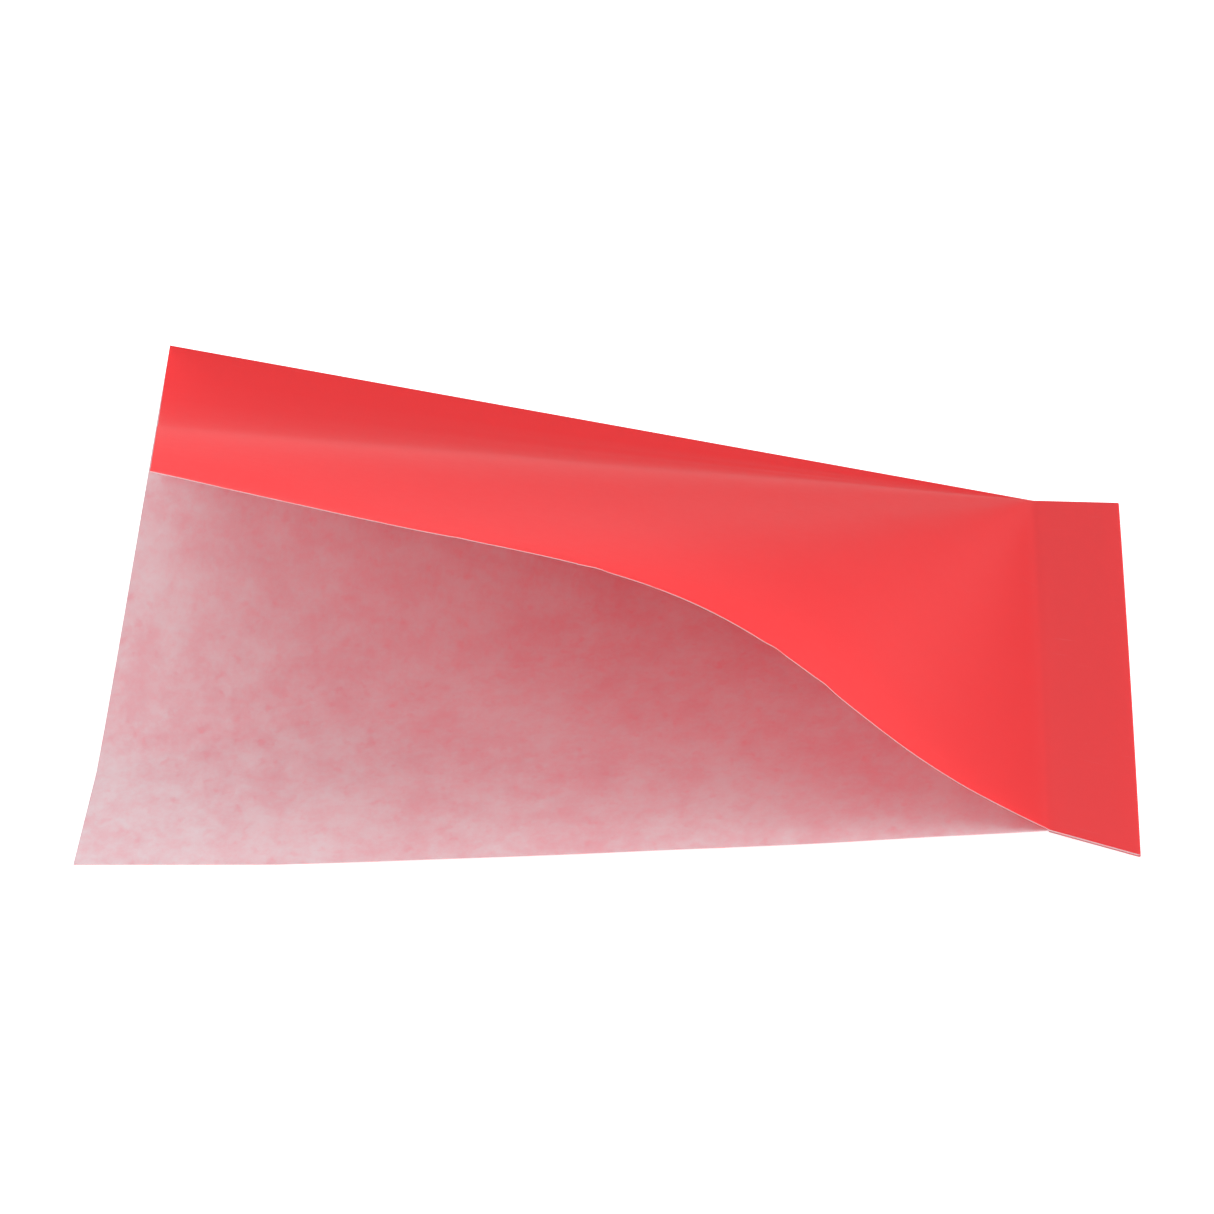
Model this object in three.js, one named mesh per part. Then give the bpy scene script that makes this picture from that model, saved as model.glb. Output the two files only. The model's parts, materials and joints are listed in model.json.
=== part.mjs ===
// A flat paper snack bag that lies on a table with its mouth lifted open.
// One sheet is folded along the side fold into a back leaf and a front leaf, and the two
// leaves are glued together in a seam at one end. The front edge and the mouth stay open.
// Both leaves leave the seam's inner corner, the apex, as bent sheets whose straight
// lines all run through that corner, so each leaf would unroll flat again.
//
// Axes: +X from the mouth to the seam, +Y from the open front edge to the side fold, +Z up.
// The origin is the middle of the footprint, on the table. Millimetres and degrees.
import * as THREE from 'three';

// The flat bag
const BAG_LENGTH = 180; // mouth edge to the end of the seam
const BAG_WIDTH = 150; // side fold to the open front edge
const SEAM_WIDTH = 16; // glued end seam
const GLUE_MARGIN = 3; // bare paper on each side of the glue line

// The layers
const PAPER = 0.3; // one layer of paper, thicker than the real one
const GLUE = 0.3; // dried glue line, thicker than the real one
const GAP = 0.3; // clearance between neighbouring pieces
const FRONT_STRIPS = 8; // strips of the front leaf, the one at the mouth half as wide again

// The opened shape, in degrees. A direction on a leaf is 0 along the seam, 90 along the fold.
const SEAM_RISE = 1.8; // climb of the seam line towards the open front edge
const FOLD_RISE = 12.2; // climb of the side fold towards the mouth
const REST_DIP = 0.5; // fall of the back leaf in the directions where it meets the table
const REST_FROM = 44; // first direction that meets the table
const REST_TO = 54; // last direction that meets the table
const SEAM_SIDE_CURL = 1.25; // power of the back leaf's bend beside the seam
const FOLD_SIDE_CURL = 1.35; // power of the back leaf's bend beside the side fold
const ARCH_WAVES = [
  { halfWaves: 2, height: 2.15 }, // leans the front leaf's arch towards the seam
  { halfWaves: 3, height: -0.65 }, // draws its shoulders in
  { halfWaves: 4, height: 0.1 }, // hollows it beside the side fold
  { halfWaves: 5, height: -0.55 }, // flattens its back
  { halfWaves: 6, height: -0.2 }, // eases the hollow into the side fold
];

// Steps of the faceted surfaces
const STRIP_COLUMNS = 3;
const LEAF_ROWS = 14;
const FOLD_ARC_STEPS = 6;
const DIRECTION_STEPS = 720;
const BULGE_SEARCH_STEPS = 50;
const WIDEST_BULGE = 30;

const RIGHT_ANGLE = Math.PI / 2;
const FREE_LENGTH = BAG_LENGTH - SEAM_WIDTH;
const LEAF_INNER = GAP / 2;
const LEAF_OUTER = LEAF_INNER + PAPER;
const FOLD_CLEARANCE = LEAF_OUTER + GAP;

// Levels in the seam, measured from the plane between the two leaves
const GLUE_TOP = -LEAF_OUTER - GAP;
const GLUE_BOTTOM = GLUE_TOP - GLUE;
const FLAP_TOP = GLUE_BOTTOM - GAP;
const FLAP_BOTTOM = FLAP_TOP - PAPER;
const SEAM_FOLD_RADIUS = (LEAF_OUTER - FLAP_BOTTOM) / 2;
const SEAM_FOLD_LEVEL = (LEAF_OUTER + FLAP_BOTTOM) / 2;
const SEAM_FOLD_CENTRE = SEAM_WIDTH - SEAM_FOLD_RADIUS;
const LAYER_END = SEAM_FOLD_CENTRE - GAP;

const PRINTED_PAPER = new THREE.MeshStandardMaterial({ color: 0xeb3e43, roughness: 0.6, metalness: 0 });
const INNER_PAPER = new THREE.MeshStandardMaterial({ color: 0xd79ca2, roughness: 0.85, metalness: 0 });
const DRIED_GLUE = new THREE.MeshStandardMaterial({ color: 0xe9dfd2, roughness: 0.5, metalness: 0 });

const bag = new THREE.Group();
const radians = THREE.MathUtils.degToRad;

// A closed thin solid. layer(u, v) gives its under and upper point, with u and v from 0 to 1.
function paperPiece(name, material, columns, rows, layer) {
  const positions = [];
  for (let side = 0; side < 2; side += 1) {
    for (let row = 0; row <= rows; row += 1) {
      for (let column = 0; column <= columns; column += 1) {
        positions.push(...layer(column / columns, row / rows)[side].toArray());
      }
    }
  }
  const layerSize = (rows + 1) * (columns + 1);
  const at = (side, row, column) => side * layerSize + row * (columns + 1) + column;
  const triangles = [];
  const quad = (a, b, c, d) => triangles.push([a, b, c], [a, c, d]);
  for (let row = 0; row < rows; row += 1) {
    for (let column = 0; column < columns; column += 1) {
      quad(at(1, row, column), at(1, row, column + 1), at(1, row + 1, column + 1), at(1, row + 1, column));
      quad(at(0, row, column), at(0, row + 1, column), at(0, row + 1, column + 1), at(0, row, column + 1));
    }
  }
  for (let column = 0; column < columns; column += 1) {
    quad(at(0, 0, column), at(0, 0, column + 1), at(1, 0, column + 1), at(1, 0, column));
    quad(at(0, rows, column), at(1, rows, column), at(1, rows, column + 1), at(0, rows, column + 1));
  }
  for (let row = 0; row < rows; row += 1) {
    quad(at(0, row, 0), at(1, row, 0), at(1, row + 1, 0), at(0, row + 1, 0));
    quad(at(0, row, columns), at(0, row + 1, columns), at(1, row + 1, columns), at(1, row, columns));
  }
  const corner = (index) => new THREE.Vector3().fromArray(positions, index * 3);
  const sixVolumes = triangles.reduce((sum, [a, b, c]) => sum + corner(a).dot(corner(b).cross(corner(c))), 0);
  const facingOut = sixVolumes > 0 ? triangles : triangles.map(([a, b, c]) => [a, c, b]);
  const geometry = new THREE.BufferGeometry();
  geometry.setAttribute('position', new THREE.Float32BufferAttribute(positions, 3));
  geometry.setIndex(facingOut.flat());
  geometry.computeVertexNormals();
  const mesh = new THREE.Mesh(geometry, material);
  mesh.name = name;
  bag.add(mesh);
}

// Climb of each leaf's straight lines, by their direction on the flat leaf (radians)
function backLeafClimb(direction) {
  const fromSeam = Math.max(0, 1 - direction / radians(REST_FROM));
  const fromRest = Math.max(0, direction - radians(REST_TO)) / (RIGHT_ANGLE - radians(REST_TO));
  const seamPart = (SEAM_RISE + REST_DIP) * fromSeam ** SEAM_SIDE_CURL;
  const foldPart = (FOLD_RISE + REST_DIP) * fromRest ** FOLD_SIDE_CURL;
  return radians(seamPart + foldPart - REST_DIP);
}

function frontLeafClimb(direction, bulge) {
  const share = direction / RIGHT_ANGLE;
  const straight = SEAM_RISE + (FOLD_RISE - SEAM_RISE) * share;
  const wave = ({ halfWaves, height }) => height * Math.sin(halfWaves * Math.PI * share);
  const shape = ARCH_WAVES.reduce((sum, part) => sum + wave(part), wave({ halfWaves: 1, height: bulge }));
  return radians(straight + shape);
}

// Plan angle of each straight line from the seam line. The flat sheet's angles are kept, so
// the steeper the climb changes, the less the line turns in plan.
function planAngles(climb) {
  const step = RIGHT_ANGLE / DIRECTION_STEPS;
  const angles = [0];
  for (let i = 0; i < DIRECTION_STEPS; i += 1) {
    const steepness = (climb((i + 1) * step) - climb(i * step)) / step;
    const turn = Math.sqrt(Math.max(0, 1 - steepness ** 2)) / Math.cos(climb((i + 0.5) * step));
    angles.push(angles[i] + turn * step);
  }
  return angles;
}

// The front leaf bulges just as far as lets both leaves meet again at the side fold.
function matchingBulge() {
  const backTurn = planAngles(backLeafClimb)[DIRECTION_STEPS];
  let low = 0;
  let high = WIDEST_BULGE;
  for (let i = 0; i < BULGE_SEARCH_STEPS; i += 1) {
    const middle = (low + high) / 2;
    const frontTurn = planAngles((direction) => frontLeafClimb(direction, middle))[DIRECTION_STEPS];
    if (frontTurn > backTurn) low = middle;
    else high = middle;
  }
  return (low + high) / 2;
}

function lineFinder(climb) {
  const angles = planAngles(climb);
  return (direction) => {
    const place = THREE.MathUtils.clamp(direction / RIGHT_ANGLE, 0, 1) * DIRECTION_STEPS;
    const index = Math.min(Math.floor(place), DIRECTION_STEPS - 1);
    const plan = angles[index] + (angles[index + 1] - angles[index]) * (place - index);
    const rise = climb(direction);
    const level = Math.cos(rise);
    return new THREE.Vector3(-Math.sin(plan) * level, -Math.cos(plan) * level, Math.sin(rise));
  };
}

const bulge = matchingBulge();
const backLine = lineFinder(backLeafClimb);
const frontLine = lineFinder((direction) => frontLeafClimb(direction, bulge));
const apex = new THREE.Vector3(0, 0, -FLAP_BOTTOM);
const foldDirection = backLine(RIGHT_ANGLE);
const seamDirection = backLine(0);

// Point of a leaf at a flat place (along the side fold, away from it), off the middle plane
function leafPoint(line, along, across, level) {
  const direction = Math.atan2(along, across);
  const nudge = RIGHT_ANGLE / DIRECTION_STEPS;
  const middle = line(direction);
  const sideways = line(Math.min(direction + nudge, RIGHT_ANGLE)).sub(line(Math.max(direction - nudge, 0)));
  const normal = new THREE.Vector3().crossVectors(middle, sideways).normalize();
  if (normal.z < 0) normal.negate();
  return apex.clone().addScaledVector(middle, Math.hypot(along, across)).addScaledVector(normal, level);
}

function acrossLeaf(share) {
  return FOLD_CLEARANCE + (BAG_WIDTH - FOLD_CLEARANCE) * share;
}

// The back leaf lies flat on the table wherever its curve would dip below it.
function backLeaf() {
  const columns = STRIP_COLUMNS * FRONT_STRIPS;
  paperPiece('back_leaf', INNER_PAPER, columns, LEAF_ROWS, (u, v) => {
    const along = GAP + (FREE_LENGTH - GAP) * u;
    const under = leafPoint(backLine, along, acrossLeaf(v), -LEAF_OUTER);
    const upper = leafPoint(backLine, along, acrossLeaf(v), -LEAF_INNER);
    const lift = Math.max(0, -under.z);
    under.z += lift;
    upper.z += lift;
    return [under, upper];
  });
}

// Strips of the front leaf, from the seam to the mouth. The first stays with the seam.
function frontLeaf() {
  const stripWidth = FREE_LENGTH / (FRONT_STRIPS + 0.5);
  for (let strip = 0; strip < FRONT_STRIPS; strip += 1) {
    const atMouth = strip === FRONT_STRIPS - 1;
    const from = strip === 0 ? GAP : strip * stripWidth + GAP / 2;
    const to = atMouth ? FREE_LENGTH : (strip + 1) * stripWidth - GAP / 2;
    const name = atMouth ? 'front_leaf_mouth' : `front_leaf_${strip + 1}`;
    paperPiece(name, PRINTED_PAPER, STRIP_COLUMNS, LEAF_ROWS, (u, v) => {
      const along = from + (to - from) * u;
      const under = leafPoint(frontLine, along, acrossLeaf(v), LEAF_INNER);
      const upper = leafPoint(frontLine, along, acrossLeaf(v), LEAF_OUTER);
      return [under, upper];
    });
  }
}

// The crease that joins the leaves: a half round of paper about the side fold's axis
function sideFold() {
  const outward = new THREE.Vector3().crossVectors(foldDirection, new THREE.Vector3(0, 0, 1)).normalize();
  const upward = new THREE.Vector3().crossVectors(outward, foldDirection).normalize();
  if (outward.y < 0) outward.negate();
  if (upward.z < 0) upward.negate();
  const ringPoint = (u, v, radius) => {
    const angle = Math.PI * (u - 0.5);
    return apex.clone()
      .addScaledVector(foldDirection, GAP + (FREE_LENGTH - GAP) * v)
      .addScaledVector(outward, radius * Math.cos(angle))
      .addScaledVector(upward, radius * Math.sin(angle));
  };
  const layer = (u, v) => [ringPoint(u, v, LEAF_INNER), ringPoint(u, v, LEAF_OUTER)];
  paperPiece('side_fold', PRINTED_PAPER, FOLD_ARC_STEPS, 1, layer);
}

// The seam runs from the seam line down to the table. The middle of its fold keeps level.
const seamFront = apex.clone().addScaledVector(seamDirection, BAG_WIDTH);
const seamDrop = (seamFront.z - apex.z) * SEAM_WIDTH / SEAM_FOLD_CENTRE;
const seamReach = Math.sqrt(SEAM_WIDTH ** 2 - seamDrop ** 2);
const outerBack = apex.clone().add(new THREE.Vector3(SEAM_WIDTH, 0, 0));
const outerFront = seamFront.clone().add(new THREE.Vector3(seamReach, 0, -seamDrop));

// Point in the seam: outwards from the seam line, forwards (0 to 1), and off the middle plane
function seamPoint(out, forward, level) {
  const start = apex.clone().lerp(seamFront, forward);
  const outward = outerBack.clone().lerp(outerFront, forward).sub(start).normalize();
  const normal = new THREE.Vector3().crossVectors(seamDirection, outward).normalize();
  if (normal.z < 0) normal.negate();
  return start.addScaledVector(outward, out).addScaledVector(normal, level);
}

function seamLayer(name, material, from, to, bottom, top) {
  paperPiece(name, material, 1, LEAF_ROWS, (u, v) => {
    const out = from + (to - from) * u;
    return [seamPoint(out, v, bottom), seamPoint(out, v, top)];
  });
}

// The crease that carries the front layer round the seam's outer edge into the flap
function seamFold() {
  const ringPoint = (u, v, radius) => {
    const angle = Math.PI * (u - 0.5);
    const out = SEAM_FOLD_CENTRE + radius * Math.cos(angle);
    return seamPoint(out, v, SEAM_FOLD_LEVEL + radius * Math.sin(angle));
  };
  paperPiece('seam_fold', PRINTED_PAPER, FOLD_ARC_STEPS, LEAF_ROWS, (u, v) => [
    ringPoint(u, v, SEAM_FOLD_RADIUS - PAPER),
    ringPoint(u, v, SEAM_FOLD_RADIUS),
  ]);
}

backLeaf();
frontLeaf();
sideFold();
seamLayer('seam_front_layer', PRINTED_PAPER, 0, LAYER_END, LEAF_INNER, LEAF_OUTER);
seamLayer('seam_back_layer', PRINTED_PAPER, 0, LAYER_END, -LEAF_OUTER, -LEAF_INNER);
seamLayer('seam_glue', DRIED_GLUE, GLUE_MARGIN, LAYER_END - GLUE_MARGIN, GLUE_BOTTOM, GLUE_TOP);
seamLayer('seam_flap', PRINTED_PAPER, 0, LAYER_END, FLAP_BOTTOM, FLAP_TOP);
seamFold();

// Stand the bag on its origin
const extent = new THREE.Box3().setFromObject(bag);
const middle = extent.getCenter(new THREE.Vector3());
bag.position.set(-middle.x, -middle.y, -extent.min.z);

export default bag;
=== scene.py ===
import json
import math

import bpy
from mathutils import Matrix, Vector, noise


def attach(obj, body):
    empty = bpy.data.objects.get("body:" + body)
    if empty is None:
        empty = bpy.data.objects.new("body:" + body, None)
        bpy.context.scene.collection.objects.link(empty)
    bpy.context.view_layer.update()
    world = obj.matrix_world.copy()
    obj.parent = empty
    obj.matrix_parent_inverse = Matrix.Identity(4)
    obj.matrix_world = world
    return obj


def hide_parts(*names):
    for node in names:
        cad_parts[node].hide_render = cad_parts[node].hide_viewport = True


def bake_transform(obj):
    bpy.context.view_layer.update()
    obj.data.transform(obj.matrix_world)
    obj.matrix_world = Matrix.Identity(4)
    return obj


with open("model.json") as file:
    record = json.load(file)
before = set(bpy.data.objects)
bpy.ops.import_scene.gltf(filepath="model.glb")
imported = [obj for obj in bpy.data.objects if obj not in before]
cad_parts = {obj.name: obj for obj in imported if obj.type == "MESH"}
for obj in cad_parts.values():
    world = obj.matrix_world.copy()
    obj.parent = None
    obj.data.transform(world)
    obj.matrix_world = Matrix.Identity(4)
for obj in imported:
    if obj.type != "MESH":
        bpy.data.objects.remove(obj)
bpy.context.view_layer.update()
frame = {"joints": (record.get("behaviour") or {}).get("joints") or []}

# The camera looks across the table at the open front edge from a little above it, far enough
# away that the bag's far side is hardly smaller than its near side.
CAMERA_AZIMUTH = math.radians(2.82)
CAMERA_ELEVATION = math.radians(24.14)
CAMERA_ROLL = math.radians(1.265)
CAMERA_DISTANCE = 1.1862
CAMERA_AIM = Vector((-0.002624, -0.002413, 0.014911))

camera_data = bpy.data.cameras.new("camera")
camera_data.sensor_width = 36
camera_data.lens = 199.2
camera_data.clip_start = 0.05
camera_data.clip_end = 50
camera = bpy.data.objects.new("camera", camera_data)
bpy.context.scene.collection.objects.link(camera)
tilt = Matrix.Rotation(math.pi / 2 - CAMERA_ELEVATION, 3, "X")
turn = Matrix.Rotation(CAMERA_AZIMUTH, 3, "Z") @ tilt @ Matrix.Rotation(-CAMERA_ROLL, 3, "Z")
camera_place = CAMERA_AIM + turn @ Vector((0, 0, CAMERA_DISTANCE))
camera.matrix_world = Matrix.Translation(camera_place) @ turn.to_4x4()
bpy.context.scene.camera = camera


class Value:
    """A number, colour or vector inside a material, so that a pattern reads as arithmetic."""

    def __init__(self, paint, socket):
        self.paint = paint
        self.socket = socket

    def maths(self, operation, first, second):
        return self.paint.node("ShaderNodeMath", {"operation": operation}, {0: first, 1: second})

    def __add__(self, other):
        return self.maths("ADD", self, other)

    def __radd__(self, other):
        return self.maths("ADD", other, self)

    def __mul__(self, other):
        return self.maths("MULTIPLY", self, other)

    def __rmul__(self, other):
        return self.maths("MULTIPLY", other, self)


class Paint:
    """A material in the making. node() sets a node's settings first and its sockets next."""

    def __init__(self, name):
        self.material = bpy.data.materials.new(name)
        self.material.use_nodes = True
        self.tree = self.material.node_tree
        self.tree.nodes.clear()

    def node(self, kind, settings, inputs, output=0):
        made = self.tree.nodes.new(kind)
        for name, value in settings.items():
            setattr(made, name, value)
        for name, value in inputs.items():
            if isinstance(value, Value):
                self.tree.links.new(value.socket, made.inputs[name])
            else:
                made.inputs[name].default_value = value
        return Value(self, made.outputs[output])

    def mottle(self, place, scale, detail, roughness=0.5):
        """Even random mottling from 0 to 1, with about scale blotches to a metre of paper."""
        values = {"Vector": place, "Scale": scale, "Detail": detail, "Roughness": roughness}
        return self.node("ShaderNodeTexNoise", {}, values)

    def share(self, value, low, high):
        """0 below low, 1 above high, and smooth between them."""
        ramp = {"interpolation_type": "SMOOTHSTEP", "clamp": True}
        return self.node("ShaderNodeMapRange", ramp, {"Value": value, "From Min": low, "From Max": high})

    def tint(self, share, first, second):
        """The first colour where share is 0 and the second where it is 1."""
        return self.node("ShaderNodeMix", {"data_type": "RGBA"}, {0: share, 6: first, 7: second}, 2)

    def finish(self, shader):
        output = self.tree.nodes.new("ShaderNodeOutputMaterial")
        self.tree.links.new(shader.socket, output.inputs["Surface"])


# The table is a plain white board that glows, as a light table does. The light is an even room,
# a wide soft box overhead, and four more at the sides and in front that fill the bag's mouth.
TABLE_SIZE = 8
TABLE_COLOUR = (0.5, 0.5, 0.5, 1)
TABLE_GLOW = 0.97
ROOM_STRENGTH = 0.5

bpy.ops.object.select_all(action="DESELECT")
bpy.ops.mesh.primitive_plane_add(size=TABLE_SIZE, location=(0, 0, 0))
table = bpy.context.object
table.name = "table"
board = Paint("table_board")
lit_face = {"Base Color": TABLE_COLOUR, "Roughness": 0.7, "Specular IOR Level": 0.2}
lit_face.update({"Emission Color": (1, 1, 1, 1), "Emission Strength": TABLE_GLOW})
board.finish(board.node("ShaderNodeBsdfPrincipled", {}, lit_face))
table.data.materials.append(board.material)

room = bpy.data.worlds.new("room")
room.use_nodes = True
room.node_tree.nodes["Background"].inputs["Color"].default_value = (1, 1, 1, 1)
room.node_tree.nodes["Background"].inputs["Strength"].default_value = ROOM_STRENGTH
bpy.context.scene.world = room
bpy.context.scene.view_settings.view_transform = "Standard"


def soft_box(name, place, size, power):
    """A square soft box that faces the middle of the bag."""
    data = bpy.data.lights.new(name, "AREA")
    data.shape = "SQUARE"
    data.size = size
    data.energy = power
    box = bpy.data.objects.new(name, data)
    bpy.context.scene.collection.objects.link(box)
    box.location = place
    box.rotation_euler = (-Vector(place)).to_track_quat("-Z", "Y").to_euler()


soft_box("overhead_box", (0, 0, 1.8), 2.4, 20.5)
soft_box("left_box", (-2.0, 0, 0.95), 1.6, 8.6)
soft_box("right_box", (2.0, 0, 0.95), 1.6, 29)
soft_box("front_left_box", (-1.5, -1.5, 0.95), 1.6, 12)
soft_box("front_right_box", (1.5, -1.5, 0.95), 1.6, 8)

# The back half of the sheet: the leaf that lies on the table, its part in the end seam, and
# the side fold, where the same sheet turns over into the front leaf. The print is outside.
BAG_LENGTH = 0.180
BAG_WIDTH = 0.150
SEAM_WIDTH = 0.016
FREE_LENGTH = BAG_LENGTH - SEAM_WIDTH
PAPER = 0.0001
LIFT = 0.00006
TABLE_GAP = 0.00008
CELL = 0.001
SEAM_RISE = 1.8
FOLD_RISE = 12.2
REST_DIP = 0.5
REST_FROM = 44
REST_TO = 54
SEAM_SIDE_CURL = 1.25
FOLD_SIDE_CURL = 1.35
DIRECTION_STEPS = 720
CREASE_STEPS = 5
CORNER_DROOP = 0.0005
SEAM_TRIM = 0.0004
BACK_COCKLE = 0.00025
BACK_COCKLE_SIZE = 0.035
FLAT_BORDER = 0.02

hinge = next(joint for joint in frame["joints"] if joint["name"] == "mouth_open")
apex = Vector(hinge["pos_m"])


def back_climb(direction):
    """Climb of the back leaf's straight line in this direction: 0 along the seam, 90 along the fold."""
    from_seam = max(0, 1 - direction / REST_FROM)
    from_rest = max(0, direction - REST_TO) / (90 - REST_TO)
    seam_part = (SEAM_RISE + REST_DIP) * from_seam**SEAM_SIDE_CURL
    fold_part = (FOLD_RISE + REST_DIP) * from_rest**FOLD_SIDE_CURL
    return seam_part + fold_part - REST_DIP


def plan_angles(climb):
    """Turn of each straight line in plan, in radians, so that the leaf would unroll flat."""
    step = 90 / DIRECTION_STEPS
    angles = [0]
    for i in range(DIRECTION_STEPS):
        steepness = (climb((i + 1) * step) - climb(i * step)) / step
        turned = math.sqrt(max(0, 1 - steepness**2)) / math.cos(math.radians(climb((i + 0.5) * step)))
        angles.append(angles[-1] + turned * math.radians(step))
    return angles


def line_finder(climb):
    """A function that gives the leaf's straight line in any direction."""
    angles = plan_angles(climb)

    def line(direction):
        place = min(max(direction / 90, 0), 1) * DIRECTION_STEPS
        index = min(int(place), DIRECTION_STEPS - 1)
        plan = angles[index] + (angles[index + 1] - angles[index]) * (place - index)
        rise = math.radians(climb(direction))
        level = math.cos(rise)
        return Vector((-math.sin(plan) * level, -math.cos(plan) * level, math.sin(rise)))

    return line


def leaf_place(line, along, across):
    """The point and the upward normal of a leaf, along the side fold and away from it."""
    direction = math.degrees(math.atan2(along, across))
    nudge = 90 / DIRECTION_STEPS
    sideways = line(min(direction + nudge, 90)) - line(max(direction - nudge, 0))
    middle = line(direction)
    normal = middle.cross(sideways).normalized()
    if normal.z < 0:
        normal.negate()
    return apex + middle * math.hypot(along, across), normal


back_line = line_finder(back_climb)
seam_front = apex + back_line(0) * BAG_WIDTH
seam_drop = seam_front.z - apex.z
outer_back = apex + Vector((math.sqrt(SEAM_WIDTH**2 - CORNER_DROOP**2), 0, -CORNER_DROOP))
outer_front = seam_front + Vector((math.sqrt(SEAM_WIDTH**2 - seam_drop**2), 0, -seam_drop))


def seam_place(out, across):
    """The point and the upward normal of the end seam, outwards from the seam line."""
    forward = across / BAG_WIDTH
    start = apex.lerp(seam_front, forward)
    outward = (outer_back.lerp(outer_front, forward) - start).normalized()
    normal = outward.cross(back_line(0)).normalized()
    if normal.z < 0:
        normal.negate()
    return start + outward * out, normal


def sheet_place(line, along, across):
    """The point and normal anywhere on a half of the sheet, with the seam at negative along."""
    return leaf_place(line, along, across) if along >= 0 else seam_place(-along, across)


def stops(start, end):
    """Even steps of about a cell from start to end."""
    count = max(1, round(abs(end - start) / CELL))
    return [start + (end - start) * i / count for i in range(count + 1)]


def cut_sheet(name, lengthways, crossways):
    """A flat grid of paper with a vertex at each pair of stops. Its UV map is the place on the flat sheet."""
    bpy.ops.object.select_all(action="DESELECT")
    columns = len(lengthways) - 1
    rows = len(crossways) - 1
    bpy.ops.mesh.primitive_grid_add(x_subdivisions=columns, y_subdivisions=rows, size=1, location=(0, 0, 0))
    piece = bpy.context.object
    piece.name = name
    for vertex in piece.data.vertices:
        along = lengthways[round((0.5 - vertex.co.x) * columns)]
        across = crossways[round((0.5 - vertex.co.y) * rows)]
        vertex.co = (along, across, 0)
    piece.data.uv_layers.active.name = "flat_sheet"
    flat_places = piece.data.uv_layers.active.data
    for loop in piece.data.loops:
        flat_places[loop.index].uv = piece.data.vertices[loop.vertex_index].co.xy
    return piece


def thicken(piece, thickness, paints):
    """Gives the bent sheet its two faces and its cut edge, with a finish for each of the three."""
    for paint in paints:
        piece.data.materials.append(paint.material)
    shell = piece.modifiers.new("thickness", "SOLIDIFY")
    shell.thickness = thickness
    shell.offset = 0
    shell.use_even_offset = True
    shell.material_offset = 1
    shell.material_offset_rim = 2
    bpy.context.view_layer.objects.active = piece
    piece.select_set(True)
    bpy.ops.object.modifier_apply(modifier="thickness")
    bpy.ops.object.shade_smooth_by_angle(angle=math.radians(50))


def cockle(along, across, size, seed):
    """Slow natural waviness of thin paper, from -1 to 1."""
    return noise.noise(Vector((along / size, across / size, seed)))


PRINT_RED = (0.84, 0.022, 0.030, 1)
PRINT_PALE = (0.88, 0.20, 0.20, 1)
PRINT_THROUGH = (0.98, 0.04, 0.05, 1)
SEAM_THROUGH = 0.42
PULP_PALE = (0.72, 0.82, 0.85, 1)
PULP_PINK = (0.71, 0.55, 0.61, 1)
PULP_THROUGH = (0.93, 0.86, 0.88, 1)
EDGE_WHITE = (0.60, 0.42, 0.44, 1)


def print_paint(name, through):
    """Solid red print on greaseproof paper: a satin ink film that lets a share of red light through.

    The end seam has more layers behind it, so it lets less light through.
    """
    paint = Paint(name)
    place = paint.node("ShaderNodeUVMap", {"uv_map": "flat_sheet"}, {})
    grain = paint.mottle(place, 3200, 2)
    clouds = paint.mottle(place, 420, 5, 0.65)
    specks = paint.share(paint.mottle(place, 1700, 1), 0.76, 0.82)
    stretched = {"Vector": place, "Rotation": (0, 0, 0.35), "Scale": (1, 14, 1)}
    rubbed = paint.node("ShaderNodeMapping", {}, stretched)
    scuffs = paint.share(paint.mottle(rubbed, 95, 2, 0.4), 0.70, 0.80)
    colour = paint.tint(0.10 * clouds + 0.35 * specks + 0.25 * scuffs, PRINT_RED, PRINT_PALE)
    relief = {"Strength": 0.25, "Distance": 0.00003, "Height": grain + 0.8 * clouds}
    bump = paint.node("ShaderNodeBump", {}, relief)
    face = {"Base Color": colour, "Roughness": 0.40 + 0.12 * clouds}
    face.update({"Specular IOR Level": 0.75, "Normal": bump})
    ink = paint.node("ShaderNodeBsdfPrincipled", {}, face)
    glow = paint.node("ShaderNodeBsdfTranslucent", {}, {"Color": PRINT_THROUGH})
    along = paint.node("ShaderNodeSeparateXYZ", {}, {"Vector": place})
    open_leaf = paint.share(along, -0.002, 0.003)
    light_share = SEAM_THROUGH + (through - SEAM_THROUGH) * open_leaf
    paint.finish(paint.node("ShaderNodeMixShader", {}, {0: light_share, 1: ink, 2: glow}))
    return paint


def pulp_paint(name, through):
    """The bare inside of the paper: cloudy fibres, with the print behind them showing pink."""
    paint = Paint(name)
    place = paint.node("ShaderNodeUVMap", {"uv_map": "flat_sheet"}, {})
    laid = paint.node("ShaderNodeMapping", {}, {"Vector": place, "Scale": (1, 0.6, 1)})
    clouds = paint.mottle(laid, 190, 6, 0.62)
    fibres = paint.mottle(laid, 700, 4, 0.7)
    drifts = paint.mottle(laid, 45, 2)
    spots = paint.mottle(laid, 430, 3)
    cloudy = paint.share(0.45 * clouds + 0.3 * fibres + 0.25 * drifts, 0.34, 0.68)
    pink = 0.9 * cloudy + 0.35 * paint.share(spots, 0.56, 0.74)
    colour = paint.tint(pink, PULP_PALE, PULP_PINK)
    relief = {"Strength": 0.3, "Distance": 0.00004, "Height": clouds + fibres}
    bump = paint.node("ShaderNodeBump", {}, relief)
    face = {"Base Color": colour, "Roughness": 0.8, "Specular IOR Level": 0.2, "Normal": bump}
    pulp = paint.node("ShaderNodeBsdfPrincipled", {}, face)
    glow = paint.node("ShaderNodeBsdfTranslucent", {}, {"Color": PULP_THROUGH})
    paint.finish(paint.node("ShaderNodeMixShader", {}, {0: through + 0.08 * pink, 1: pulp, 2: glow}))
    return paint


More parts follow.
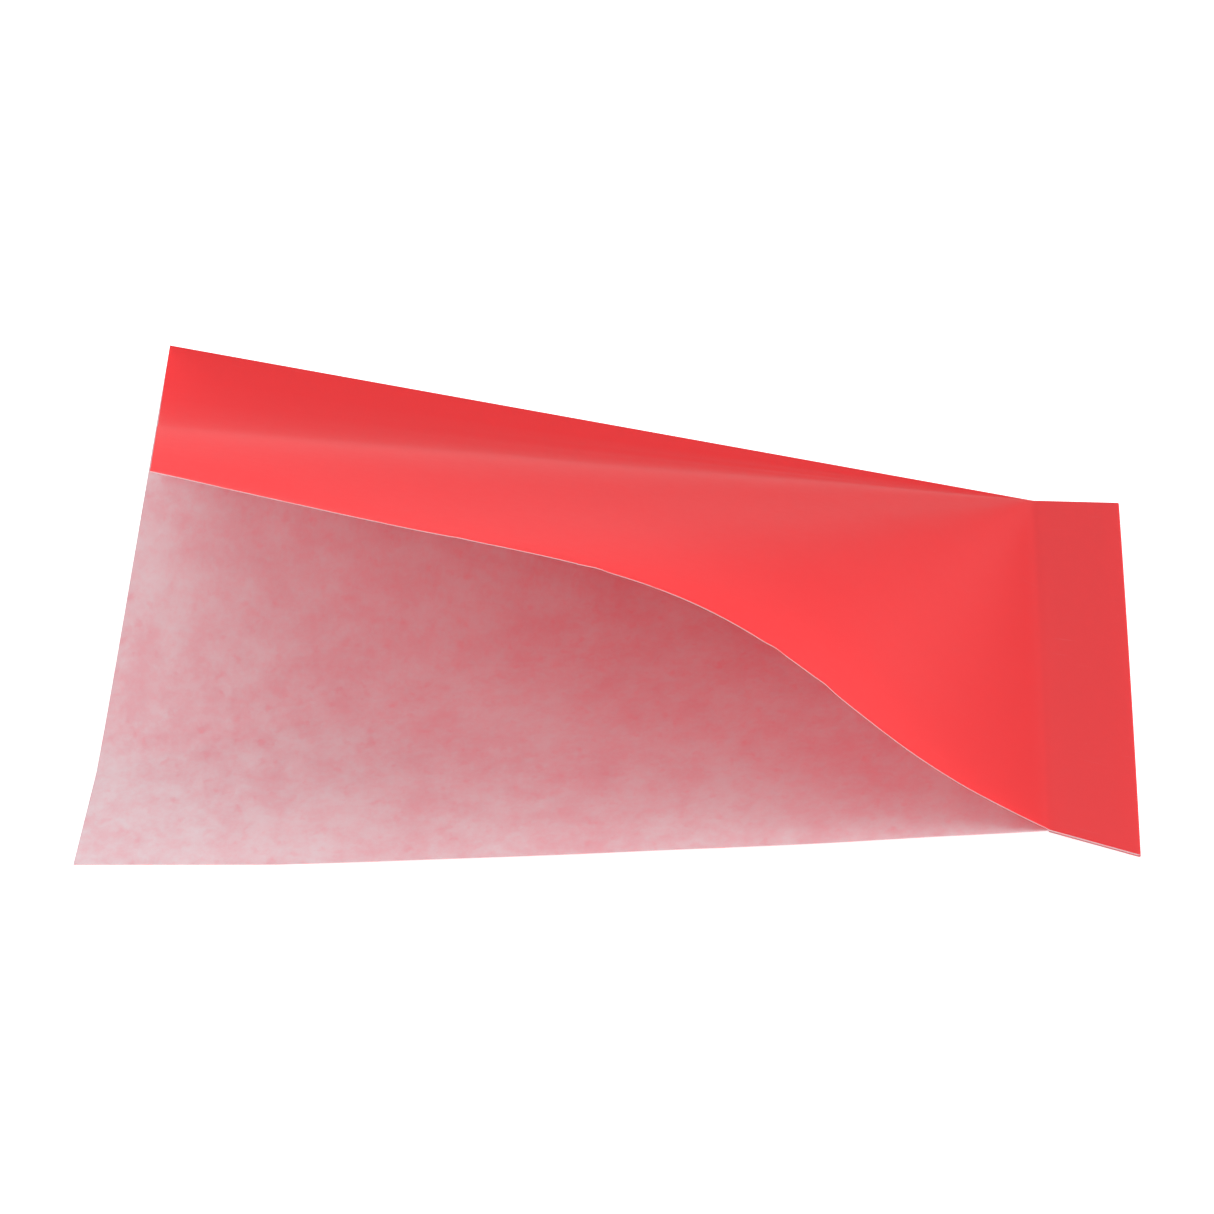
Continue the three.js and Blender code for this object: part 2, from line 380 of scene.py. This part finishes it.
def edge_paint():
    """The cut edge: the white core of the paper, with a little ink dragged over it by the blade."""
    paint = Paint("cut_edge")
    place = paint.node("ShaderNodeUVMap", {"uv_map": "flat_sheet"}, {})
    drag = paint.share(paint.mottle(place, 260, 3), 0.52, 0.66)
    colour = paint.tint(0.7 * drag, EDGE_WHITE, PRINT_PALE)
    paint.finish(paint.node("ShaderNodeBsdfPrincipled", {}, {"Base Color": colour, "Roughness": 0.8}))
    return paint


cut_edge = edge_paint()


# The front leaf's straight lines, worked out here because the side fold turns from the back leaf
# up to them. Both leaves are one sheet, so they must turn by the same amount from seam to fold.
ARCH_WAVES = ((2, 2.15), (3, -0.65), (4, 0.1), (5, -0.55), (6, -0.2))


def front_climb(direction, bulge):
    """Climb of the front leaf's straight line: a bulge, and the smaller waves that shape it."""
    share = direction / 90
    straight = SEAM_RISE + (FOLD_RISE - SEAM_RISE) * share
    waves = ((1, bulge), *ARCH_WAVES)
    return straight + sum(height * math.sin(count * math.pi * share) for count, height in waves)


def matching_bulge():
    """The front leaf bulges just as far as lets both leaves meet again at the side fold."""
    back_turn = plan_angles(back_climb)[-1]
    low = 0
    high = 30
    while high - low > 1e-9:
        middle = (low + high) / 2
        front_turn = plan_angles(lambda direction: front_climb(direction, middle))[-1]
        low, high = (middle, high) if front_turn > back_turn else (low, middle)
    return (low + high) / 2


bulge = matching_bulge()
front_line = line_finder(lambda direction: front_climb(direction, bulge))


def crease_arm(under, over, outward, share):
    """Direction from the fold's axis to the crease: from under, round the outside, to over."""
    outward = outward.normalized()
    upward = (over - under).normalized()
    low = math.atan2(under.dot(upward), under.dot(outward))
    high = math.atan2(over.dot(upward), over.dot(outward))
    angle = low + (high - low) * share
    return outward * math.cos(angle) + upward * math.sin(angle)


def back_half():
    """The back leaf with its seam layer, and the side fold that turns up to the front leaf."""
    turn_length = math.pi * LIFT
    crease = [-turn_length * (CREASE_STEPS - i) / CREASE_STEPS for i in range(CREASE_STEPS)]
    lengthways = stops(SEAM_TRIM - SEAM_WIDTH, 0) + stops(0, FREE_LENGTH)[1:]
    piece = cut_sheet("back_sheet", lengthways, crease + stops(0, BAG_WIDTH))
    for vertex in piece.data.vertices:
        along, across = vertex.co.x, vertex.co.y
        place, normal = sheet_place(back_line, along, max(across, 0))
        if across < 0:
            axis = (back_line(90) if along >= 0 else outer_back - apex).normalized()
            under = -normal
            over = sheet_place(front_line, along, 0)[1]
            outward = axis.cross(Vector((0, 0, 1)))
            if outward.y < 0:
                outward.negate()
            vertex.co = place + crease_arm(under, over, outward, -across / turn_length) * LIFT
        else:
            clear = min(1, across / FLAT_BORDER, max(0, along) / FLAT_BORDER)
            wave = cockle(along, across, BACK_COCKLE_SIZE, 4.2) * BACK_COCKLE * clear
            vertex.co = place + normal * (wave - LIFT)
            vertex.co.z = max(vertex.co.z, PAPER / 2 + TABLE_GAP)
    thicken(piece, PAPER, [pulp_paint("bare_back", 0.24), print_paint("print_back", 0.30), cut_edge])
    return piece


back_sheet = back_half()
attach(back_sheet, "seam_and_back")
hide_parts("back_leaf", "side_fold", "seam_back_layer")

# The front half of the sheet: the leaf that arches up over the mouth, its part in the end
# seam, and the flap that turns round the seam's outer edge and is glued underneath.
EDGE_KINKS = ((0.046, -0.0005), (0.056, -0.0006), (0.089, -0.0007), (0.112, -0.0004))
FAN_FOLDS = ((86.6, 0.5, 0.00012), (84.2, 0.8, -0.00018), (81.0, 0.9, 0.00020), (77.0, 1.4, 0.00016))
FAN_FADE = 0.05
RIM_WIDTH = 0.006
RIM_CURL = 0.0008
MOUTH_REACH = 0.045
TEAR_DEPTH = 0.00018
KINK_WIDTH = 0.0016
FLAP_RADIUS = 0.00019
FLAP_STEPS = 8


def hill(value, centre, width):
    """A smooth bump, 1 at its centre and close to 0 two widths away."""
    return math.exp(-(((value - centre) / width) ** 2))


def front_relief(along, across):
    """How far the front leaf's surface stands off its smooth arch."""
    reach = math.hypot(along, across)
    direction = math.degrees(math.atan2(along, across))
    clear = min(1, across / 0.012) * min(1, along / 0.02)
    fan = 0
    for centre, width, height in FAN_FOLDS:
        fading = min(1, reach / 0.03) * math.exp(-max(0, reach - FAN_FADE) / FAN_FADE)
        fan += height * hill(direction, centre, width) * fading
    slow = 0.00018 * cockle(along, across, 0.04, 1.7) + 0.00005 * cockle(along, across, 0.014, 8.3)
    rim = max(0, across - (BAG_WIDTH - RIM_WIDTH)) / RIM_WIDTH
    mouth_share = min(1, max(0, (along - (FREE_LENGTH - MOUTH_REACH)) / MOUTH_REACH))
    return clear * (fan + slow) + RIM_CURL * rim**2 * mouth_share


def edge_waver(along, across):
    """The free edge was torn off against a serrated bar, so it wavers and has a few small kinks."""
    near_edge = max(0, 1 - (BAG_WIDTH - across) / 0.004)
    kinks = sum(depth * hill(along, centre, KINK_WIDTH) for centre, depth in EDGE_KINKS)
    waver = TEAR_DEPTH * cockle(along, 0, 0.009, 5.1) - 0.00012 + kinks
    return near_edge * waver if along > 0 else 0


def front_half():
    """The front leaf with its seam layer, and the flap that turns under it."""
    reach = SEAM_WIDTH - FLAP_RADIUS
    turn_length = math.pi * FLAP_RADIUS
    flap = stops(-reach - turn_length - reach, -reach - turn_length)
    turn_stops = [-reach - turn_length * (1 - i / FLAP_STEPS) for i in range(1, FLAP_STEPS + 1)]
    lengthways = flap + turn_stops + stops(-reach, 0)[1:] + stops(0, FREE_LENGTH)[1:]
    piece = cut_sheet("front_sheet", lengthways, stops(0, BAG_WIDTH))
    for vertex in piece.data.vertices:
        along, across = vertex.co.x, vertex.co.y
        across += edge_waver(along, across)
        past_turn = -along - reach
        if past_turn <= 0:
            place, normal = sheet_place(front_line, along, across)
            relief = front_relief(along, across) if along > 0 else 0
            vertex.co = place + normal * (LIFT + relief)
        else:
            place, normal = seam_place(reach, across)
            outward = (place - seam_place(0, across)[0]).normalized()
            centre = place + normal * (LIFT - FLAP_RADIUS)
            if past_turn < turn_length:
                angle = math.pi * past_turn / turn_length
                vertex.co = centre + (normal * math.cos(angle) + outward * math.sin(angle)) * FLAP_RADIUS
            else:
                vertex.co = centre - normal * FLAP_RADIUS - outward * (past_turn - turn_length)
    thicken(piece, PAPER, [print_paint("print_front", 0.57), pulp_paint("bare_front", 0.45), cut_edge])
    return piece


front_nodes = [f"front_leaf_{number}" for number in range(1, 8)] + ["front_leaf_mouth"]
front_sheet = front_half()
fold_line = back_line(90)
seam_reach = (seam_front - apex).dot(fold_line)
bend_start = apex + fold_line * seam_reach
apex + fold_line * FREE_LENGTH
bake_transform(front_sheet)
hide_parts(*front_nodes, "seam_front_layer", "seam_fold", "seam_flap")

# The glue line between the back leaf and the flap: a thin dried bead, pressed out flat.
GLUE_MARGIN = 0.003
GLUE_THICKNESS = 0.00006
GLUE_CLEAR = (0.81, 0.74, 0.64, 1)

dried_glue = Paint("dried_glue")
clear_film = {"Base Color": GLUE_CLEAR, "Roughness": 0.45}
dried_glue.finish(dried_glue.node("ShaderNodeBsdfPrincipled", {}, clear_film))
glue = cut_sheet("glue_line", stops(GLUE_MARGIN - SEAM_WIDTH, -GLUE_MARGIN), stops(0.001, BAG_WIDTH - 0.001))
for vertex in glue.data.vertices:
    along, across = vertex.co.x, vertex.co.y
    edge = 0.0006 * cockle(0, across, 0.008, 3.1)
    place, normal = seam_place(-along + edge, across)
    vertex.co = place + normal * (LIFT - 2 * FLAP_RADIUS + 0.00011)
thicken(glue, GLUE_THICKNESS, [dried_glue])
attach(glue, "seam_and_back")
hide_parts("seam_glue")
